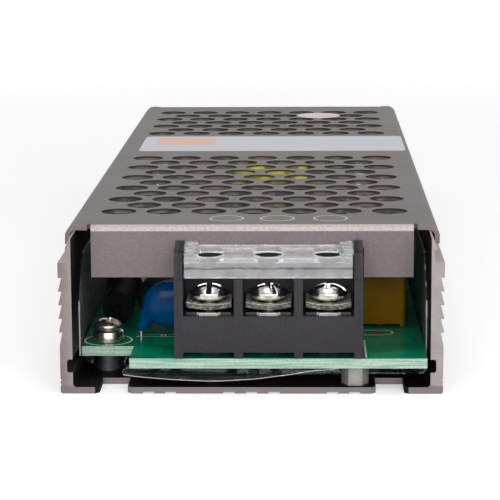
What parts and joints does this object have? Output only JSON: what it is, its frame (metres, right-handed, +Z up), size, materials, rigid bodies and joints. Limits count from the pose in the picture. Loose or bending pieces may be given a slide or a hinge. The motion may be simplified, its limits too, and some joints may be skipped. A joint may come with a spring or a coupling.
{
  "type": "led power supply",
  "caption": "Slim switching power supply for LED lighting: finned aluminium channel, perforated clipped cover, circuit board and hinged-cover screw terminals at both ends.",
  "frame": {"origin": "middle of the case's footprint, on its underside", "axes": "+X across the case, +Y along it from the input end to the output end, +Z up"},
  "size_m": [0.061, 0.187, 0.0258],
  "materials": {
    "cover_paint": "fine textured champagne grey powder coat",
    "channel_aluminium": "satin anodised extrusion, saw-cut ends",
    "clear_film": "clear polyester film",
    "board_laminate": "green solder mask on glass laminate",
    "block_plastic": "black flame-retardant moulding",
    "clear_plastic": "clear polycarbonate",
    "nickel_steel": "nickel-plated steel",
    "tinned_contact": "tin-plated brass",
    "spacer_aluminium": "turned aluminium",
    "sink_aluminium": "mill finish sheet",
    "blue_lacquer": "blue epoxy lacquer",
    "yellow_case": "yellow moulded case",
    "yellow_tape": "yellow polyester tape",
    "black_epoxy": "black moulded epoxy",
    "can_sleeve": "shrink sleeve over an aluminium can",
    "ferrite": "ground ferrite",
    "ring_coating": "green coated powder core",
    "copper_wire": "enamelled copper",
    "fuse_sleeve": "black shrink sleeve over the fuse",
    "dark_standoff": "black zinc-plated steel",
    "resistor_lacquer": "tan lacquer",
    "pad_silicone": "grey silicone pad",
    "white_moulding": "white moulding",
    "trimmer_blue": "blue moulding",
    "led_green": "green diffused lens"
  },
  "bodies": {
    "supply": {"base_channel": "channel_aluminium", "top_cover": "cover_paint", "insulating_film": "clear_film", "circuit_board": "board_laminate", "board_standoffs": "dark_standoff", "board_spacers": "spacer_aluminium", "board_screws": "nickel_steel", "lock_washers": "nickel_steel", "input_block": "block_plastic", "input_contacts": "tinned_contact", "output_block": "block_plastic", "output_contacts": "tinned_contact", "fuse": "fuse_sleeve", "thermistor": "black_epoxy", "safety_capacitors": "blue_lacquer", "film_capacitor": "yellow_case", "filter_choke_core": "ferrite", "filter_choke_windings": "copper_wire", "bridge_rectifier": "black_epoxy", "bulk_capacitors": "can_sleeve", "bleed_resistors": "resistor_lacquer", "primary_heatsink": "sink_aluminium", "secondary_heatsink": "sink_aluminium", "power_transistor": "black_epoxy", "output_rectifier": "black_epoxy", "thermal_pads": "pad_silicone", "tab_screws": "nickel_steel", "transformer_core": "ferrite", "transformer_bobbin": "black_epoxy", "transformer_winding": "yellow_tape", "barrier_sheet": "white_moulding", "output_choke_core": "ring_coating", "output_choke_winding": "copper_wire", "output_capacitors": "can_sleeve", "optocoupler": "white_moulding", "control_chip": "black_epoxy", "trimmer_body": "trimmer_blue", "indicator_led": "led_green"},
    "input_lid": {"input_cover": "clear_plastic"},
    "input_clamp_1": {"input_clamp_1": "nickel_steel"},
    "input_screw_1": {"input_screw_1": "nickel_steel"},
    "input_clamp_2": {"input_clamp_2": "nickel_steel"},
    "input_screw_2": {"input_screw_2": "nickel_steel"},
    "input_clamp_3": {"input_clamp_3": "nickel_steel"},
    "input_screw_3": {"input_screw_3": "nickel_steel"},
    "output_lid": {"output_cover": "clear_plastic"},
    "output_clamp_1": {"output_clamp_1": "nickel_steel"},
    "output_screw_1": {"output_screw_1": "nickel_steel"},
    "output_clamp_2": {"output_clamp_2": "nickel_steel"},
    "output_screw_2": {"output_screw_2": "nickel_steel"},
    "output_clamp_3": {"output_clamp_3": "nickel_steel"},
    "output_screw_3": {"output_screw_3": "nickel_steel"},
    "output_clamp_4": {"output_clamp_4": "nickel_steel"},
    "output_screw_4": {"output_screw_4": "nickel_steel"},
    "trimmer_dial": {"trimmer_rotor": "white_moulding"}
  },
  "joints": [
    {"name": "input_cover_hinge", "type": "hinge", "parent": "supply", "child": "input_lid", "pos_m": [0.00275, -0.0873, 0.02215], "axis": [-1, 0, 0], "range_deg": [0, 105]},
    {"name": "input_clamp_1_lift", "type": "slide", "parent": "supply", "child": "input_clamp_1", "axis": [0, 0, 1], "range_m": [-0.00025, 0.0024]},
    {"name": "input_screw_1_turn", "type": "hinge", "parent": "input_clamp_1", "child": "input_screw_1", "pos_m": [-0.00675, -0.0888, 0.01365], "axis": [0, 0, 1], "range_deg": [-152, 1442]},
    {"name": "input_clamp_2_lift", "type": "slide", "parent": "supply", "child": "input_clamp_2", "axis": [0, 0, 1], "range_m": [-0.00025, 0.0024]},
    {"name": "input_screw_2_turn", "type": "hinge", "parent": "input_clamp_2", "child": "input_screw_2", "pos_m": [0.00275, -0.0888, 0.01365], "axis": [0, 0, 1], "range_deg": [-152, 1442]},
    {"name": "input_clamp_3_lift", "type": "slide", "parent": "supply", "child": "input_clamp_3", "axis": [0, 0, 1], "range_m": [-0.00025, 0.0024]},
    {"name": "input_screw_3_turn", "type": "hinge", "parent": "input_clamp_3", "child": "input_screw_3", "pos_m": [0.01225, -0.0888, 0.01365], "axis": [0, 0, 1], "range_deg": [-152, 1442]},
    {"name": "output_cover_hinge", "type": "hinge", "parent": "supply", "child": "output_lid", "pos_m": [-0.0011, 0.0873, 0.02215], "axis": [1, 0, 0], "range_deg": [0, 105]},
    {"name": "output_clamp_1_lift", "type": "slide", "parent": "supply", "child": "output_clamp_1", "axis": [0, 0, 1], "range_m": [-0.00025, 0.0024]},
    {"name": "output_screw_1_turn", "type": "hinge", "parent": "output_clamp_1", "child": "output_screw_1", "pos_m": [0.01315, 0.0888, 0.01365], "axis": [0, 0, 1], "range_deg": [-152, 1442]},
    {"name": "output_clamp_2_lift", "type": "slide", "parent": "supply", "child": "output_clamp_2", "axis": [0, 0, 1], "range_m": [-0.00025, 0.0024]},
    {"name": "output_screw_2_turn", "type": "hinge", "parent": "output_clamp_2", "child": "output_screw_2", "pos_m": [0.00365, 0.0888, 0.01365], "axis": [0, 0, 1], "range_deg": [-152, 1442]},
    {"name": "output_clamp_3_lift", "type": "slide", "parent": "supply", "child": "output_clamp_3", "axis": [0, 0, 1], "range_m": [-0.00025, 0.0024]},
    {"name": "output_screw_3_turn", "type": "hinge", "parent": "output_clamp_3", "child": "output_screw_3", "pos_m": [-0.00585, 0.0888, 0.01365], "axis": [0, 0, 1], "range_deg": [-152, 1442]},
    {"name": "output_clamp_4_lift", "type": "slide", "parent": "supply", "child": "output_clamp_4", "axis": [0, 0, 1], "range_m": [-0.00025, 0.0024]},
    {"name": "output_screw_4_turn", "type": "hinge", "parent": "output_clamp_4", "child": "output_screw_4", "pos_m": [-0.01535, 0.0888, 0.01365], "axis": [0, 0, 1], "range_deg": [-152, 1442]},
    {"name": "trimmer_turn", "type": "hinge", "parent": "supply", "child": "trimmer_dial", "pos_m": [-0.0243, 0.0899, 0.00965], "axis": [0, 0, 1], "range_deg": [-120, 120]}
  ],
  "couplings": [
    {"joint": "input_screw_1_turn", "follows": "input_clamp_1_lift", "rad_per_m": 10472},
    {"joint": "input_screw_2_turn", "follows": "input_clamp_2_lift", "rad_per_m": 10472},
    {"joint": "input_screw_3_turn", "follows": "input_clamp_3_lift", "rad_per_m": 10472},
    {"joint": "output_screw_1_turn", "follows": "output_clamp_1_lift", "rad_per_m": 10472},
    {"joint": "output_screw_2_turn", "follows": "output_clamp_2_lift", "rad_per_m": 10472},
    {"joint": "output_screw_3_turn", "follows": "output_clamp_3_lift", "rad_per_m": 10472},
    {"joint": "output_screw_4_turn", "follows": "output_clamp_4_lift", "rad_per_m": 10472}
  ]
}
